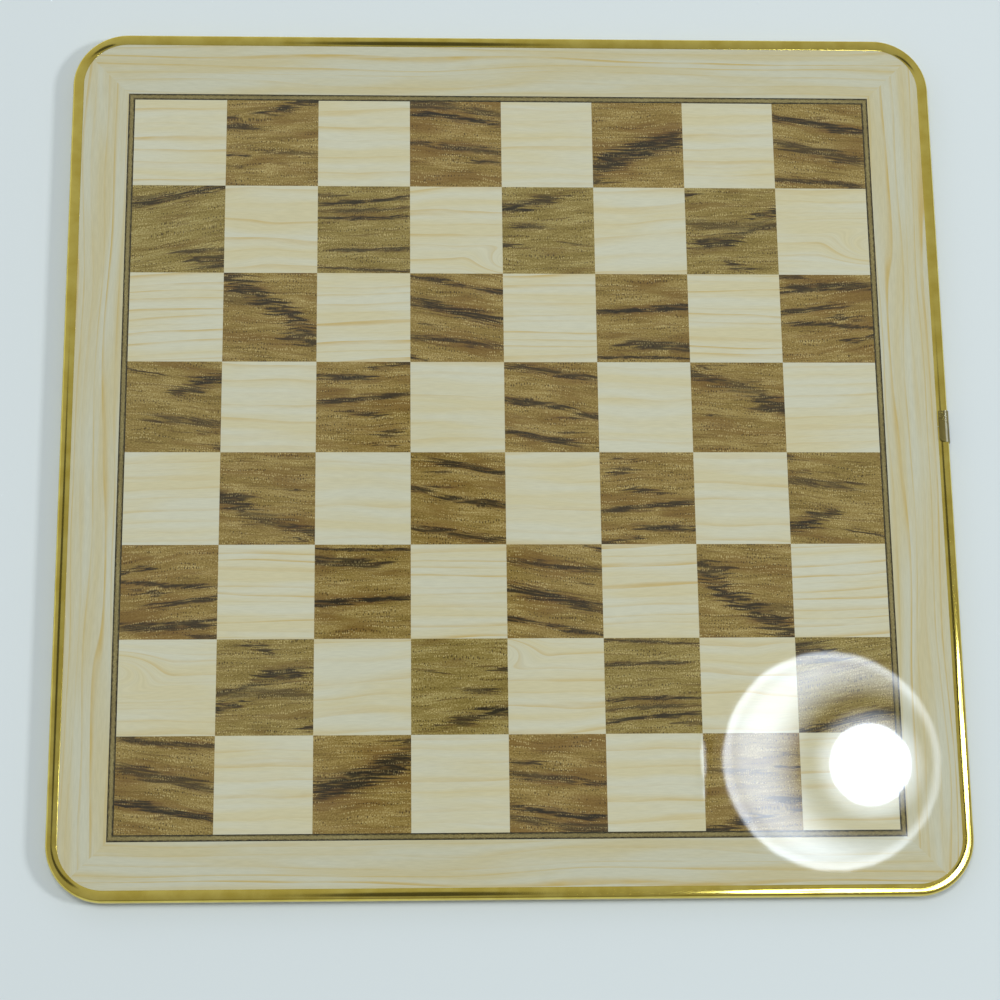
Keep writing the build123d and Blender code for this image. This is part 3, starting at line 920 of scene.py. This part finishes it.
def soft_box(name, place, size, power):
    """A rectangular soft box, turned to the board. Its place and size are in metres and its power is in
    watts. Neither the camera nor metal shows it."""
    data = bpy.data.lights.new(name, "AREA")
    data.shape = "RECTANGLE"
    data.size, data.size_y = size
    data.energy = power
    lamp = bpy.data.objects.new(name, data)
    bpy.context.scene.collection.objects.link(lamp)
    aim = -Vector(place)
    lamp.matrix_world = Matrix.Translation(place) @ aim.to_track_quat("-Z", "Y").to_matrix().to_4x4()
    lamp.visible_camera = lamp.visible_glossy = False


soft_box("soft_box_right", (3.0, -0.1, 2.2), (0.6, 0.5), 56.0)
soft_box("soft_box_far", (-0.6, 0.8, 4.2), (2.0, 1.0), 71.0)


# Above the board hangs a round lamp that only mirrors show: a bright bulb in a shallow dish, off its
# middle. The dish glows away from the bulb and dims towards its rim, and a thin ring runs round the rim.
lamp_middle = Vector((324.1, -3.1, 1000.0)) * MM
bulb_middle = Vector((32.7, -3.6, 0.0)) * MM
lamp_radius = 96 * MM


def glowing_sheet(name, bm, strength_in):
    """Makes a bmesh a sheet that only mirrors show, facing down and glowing a cool white. strength_in
    builds its strength from the place on the sheet in metres and returns it."""
    bmesh.ops.reverse_faces(bm, faces=bm.faces)
    sheet = finished_piece(name, bm)
    sheet.visible_camera = sheet.visible_diffuse = sheet.visible_shadow = False
    glow = bpy.data.materials.new(name + "_glow")
    glow.use_nodes = True
    tree = glow.node_tree
    tree.nodes.remove(tree.nodes["Principled BSDF"])
    strength = strength_in(tree, add_node(tree, "TexCoord").outputs["Object"])
    emission = add_node(tree, "Emission", {"Color": colour("#e3f0ff")}, {"Strength": strength})
    tree.links.new(emission.outputs[0], tree.nodes["Material Output"].inputs["Surface"])
    sheet.data.materials.append(glow)


def round_lamp_strength(tree, place):
    """The lamp's glow, built up from the bulb outwards. A row's light is added, or dims what is there. It
    goes from low to high between two distances in mm, from the bulb's or the lamp's middle."""
    local = add_node(tree, "VectorMath SUBTRACT", {1: lamp_middle}, {0: place})
    from_middle = add_node(tree, "VectorMath LENGTH", links={0: local}).outputs["Value"]
    from_bulb = add_node(tree, "VectorMath DISTANCE", {1: bulb_middle}, {0: local}).outputs["Value"]
    total = 0.0
    for measured, start, end, low, high, joined in (
        (from_bulb, 54, 94, 0.5, 16.0, "ADD"),         # the dish
        (from_middle, 74, 92, 1.0, 0.65, "MULTIPLY"),  # dimmer towards its rim
        (from_bulb, 34, 36, 26.0, 0.0, "ADD"),         # the bulb
        (from_bulb, 34, 52, 9.0, 0.0, "ADD"),          # the halo round it
        (from_middle, 84, 91, 0.0, 6.0, "ADD"),        # the ring
        (from_middle, 92, 96, 1.0, 0.0, "MULTIPLY"),   # the rim's soft edge
    ):
        reach = {"From Min": start * MM, "From Max": end * MM, "To Min": low, "To Max": high}
        part = add_node(tree, "MapRange", SMOOTHLY | reach, {"Value": measured})
        total = add_node(tree, "Math " + joined, links={0: total, 1: part})
    return total


bm = bmesh.new()
bmesh.ops.create_circle(bm, cap_ends=True, segments=96, radius=lamp_radius,
                        matrix=Matrix.Translation(lamp_middle))
glowing_sheet("round_lamp", bm, round_lamp_strength)


# A narrow strip light beside it, which only mirrors show too, draws a thin, broken bright line on the face
# and along the brass.
strip_middle = Vector((213.0, -8.0, 1000.0)) * MM
strip_turn = Matrix.Rotation(math.radians(-6), 4, "Z")
half_width, half_length = 7 * MM, 36 * MM


def strip_strength(tree, place):
    """The strip's glow: an oval core, broken up by patches."""
    core_size, patch_size, patch_share = (2.6 * MM, 42 * MM, 1.0), 25 * MM, 1.6
    dark_from, bright_to, strongest = 1.75, 1.2, 9.0
    local = add_node(tree, "VectorMath SUBTRACT", {1: strip_middle}, {0: place})
    scaled = add_node(tree, "VectorMath DIVIDE", {1: core_size}, {0: local})
    away = add_node(tree, "VectorMath LENGTH", links={0: scaled}).outputs["Value"]
    uneven = add_node(tree, "TexNoise", {"Scale": 1 / patch_size, "Detail": 1.0}, {"Vector": place})
    broken = add_node(tree, "Math MULTIPLY_ADD", {1: patch_share}, {0: uneven, 2: away})
    return add_node(tree, "MapRange", SMOOTHLY | {"From Min": dark_from, "From Max": bright_to,
                                                  "To Max": strongest}, {"Value": broken})


bm = bmesh.new()
shape = strip_turn @ Matrix.Diagonal((half_width, half_length, 1.0, 1.0))
bmesh.ops.create_grid(bm, x_segments=1, y_segments=1, size=1.0,
                      matrix=Matrix.Translation(strip_middle) @ shape)
glowing_sheet("strip_light", bm, strip_strength)

bpy.context.scene.view_settings.view_transform = "Standard"
